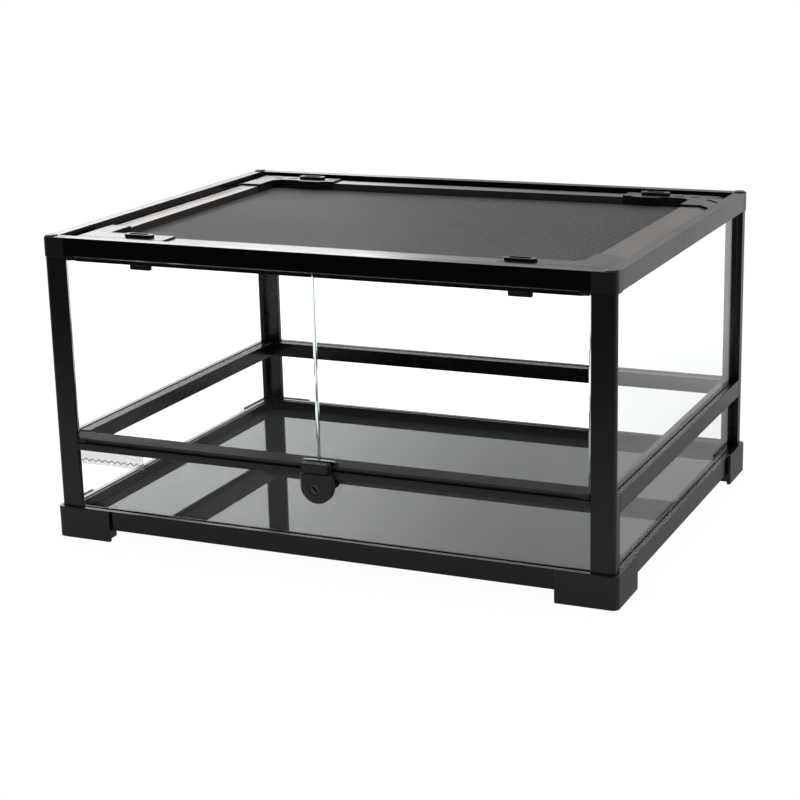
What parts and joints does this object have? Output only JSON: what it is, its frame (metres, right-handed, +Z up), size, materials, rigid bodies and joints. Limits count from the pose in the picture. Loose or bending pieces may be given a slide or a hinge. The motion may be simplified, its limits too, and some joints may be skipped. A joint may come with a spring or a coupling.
{
  "type": "reptile terrarium",
  "caption": "Low glass reptile terrarium on a raised black frame, with paired swinging front doors over a fixed lower window, a cylinder lock and a latched lift-off mesh lid.",
  "frame": {"origin": "centre of the footprint on the ground, under the feet; the footprint runs from the lock's front face to the outer faces of the rear feet", "axes": "+X to the right seen from the front, -Y out of the front doors, +Z up"},
  "size_m": [0.606, 0.468, 0.3165],
  "materials": {
    "frame_plastic": "black injection-moulded plastic, fine satin grain",
    "rail_plastic": "black extruded plastic rails, satin with a soft sheen",
    "trim_plastic": "black moulded plastic, finely textured",
    "lock_plastic": "black plastic, low gloss",
    "lock_metal": "dark plated lock cylinder with a slanted key slot",
    "lid_metal": "black coated lid bars with a soft warm sheen",
    "mesh_metal": "black coated fine wire mesh",
    "spline_rubber": "black retaining cord",
    "film": "thin translucent film with a plain zigzag line",
    "glass": "clear float glass with pale green polished edges"
  },
  "bodies": {
    "tank": {"foot_front_left": "frame_plastic", "foot_front_right": "frame_plastic", "foot_rear_left": "frame_plastic", "foot_rear_right": "frame_plastic", "bottom_rail_front": "rail_plastic", "bottom_rail_rear": "rail_plastic", "bottom_rail_left": "rail_plastic", "bottom_rail_right": "rail_plastic", "floor_pane": "glass", "pane_front_lower": "glass", "pane_rear_lower": "glass", "pane_left_lower": "glass", "pane_right_lower": "glass", "mid_rail_front": "rail_plastic", "mid_rail_rear": "rail_plastic", "mid_rail_left": "rail_plastic", "mid_rail_right": "rail_plastic", "post_front_left": "rail_plastic", "post_front_right": "rail_plastic", "post_rear_left": "rail_plastic", "post_rear_right": "rail_plastic", "pane_rear_upper": "glass", "pane_left_upper": "glass", "pane_right_upper": "glass", "top_rail_front": "rail_plastic", "top_rail_rear": "rail_plastic", "top_rail_left": "rail_plastic", "top_rail_right": "rail_plastic", "top_corner_front_left": "frame_plastic", "top_corner_front_right": "frame_plastic", "top_corner_rear_left": "frame_plastic", "top_corner_rear_right": "frame_plastic", "corner_plugs": "trim_plastic", "lock_housing": "lock_plastic", "lock_back_plate": "lock_plastic", "level_film": "film"},
    "door_left_leaf": {"door_left": "glass", "hinge_shoes_left": "trim_plastic"},
    "door_right_leaf": {"door_right": "glass", "hinge_shoes_right": "trim_plastic"},
    "cap": {"lock_cap": "lock_plastic"},
    "key_cylinder": {"lock_cylinder": "lock_metal"},
    "lid": {"lid_bar_front": "lid_metal", "lid_bar_rear": "lid_metal", "lid_bar_left": "lid_metal", "lid_bar_right": "lid_metal", "lid_corner_front_left": "trim_plastic", "lid_corner_front_right": "trim_plastic", "lid_corner_rear_left": "trim_plastic", "lid_corner_rear_right": "trim_plastic", "lid_mesh": "mesh_metal", "mesh_spline": "spline_rubber", "lid_port_caps": "trim_plastic"},
    "front_left_latch": {"latch_front_left": "trim_plastic"},
    "front_right_latch": {"latch_front_right": "trim_plastic"},
    "rear_left_latch": {"latch_rear_left": "trim_plastic"},
    "rear_right_latch": {"latch_rear_right": "trim_plastic"}
  },
  "joints": [
    {"name": "left_door_swing", "type": "hinge", "parent": "tank", "child": "door_left_leaf", "pos_m": [-0.2693, -0.2215, 0.19975], "axis": [0, 0, -1], "range_deg": [0, 110]},
    {"name": "right_door_swing", "type": "hinge", "parent": "tank", "child": "door_right_leaf", "pos_m": [0.2693, -0.2215, 0.19975], "axis": [0, 0, 1], "range_deg": [0, 110]},
    {"name": "lock_cap_lift", "type": "slide", "parent": "tank", "child": "cap", "axis": [0, 0, 1], "range_m": [0, 0.005]},
    {"name": "key_turn", "type": "hinge", "parent": "tank", "child": "key_cylinder", "pos_m": [0, -0.23, 0.086], "axis": [0, 1, 0], "range_deg": [0, 90]},
    {"name": "lid_lift", "type": "slide", "parent": "tank", "child": "lid", "axis": [0, 0, 1], "range_m": [0, 0.08]},
    {"name": "front_left_latch_slide", "type": "slide", "parent": "lid", "child": "front_left_latch", "axis": [1, 0, 0], "range_m": [0, 0.012]},
    {"name": "front_right_latch_slide", "type": "slide", "parent": "lid", "child": "front_right_latch", "axis": [1, 0, 0], "range_m": [0, 0.012]},
    {"name": "rear_left_latch_slide", "type": "slide", "parent": "lid", "child": "rear_left_latch", "axis": [1, 0, 0], "range_m": [0, 0.012]},
    {"name": "rear_right_latch_slide", "type": "slide", "parent": "lid", "child": "rear_right_latch", "axis": [-1, 0, 0], "range_m": [0, 0.012]}
  ]
}
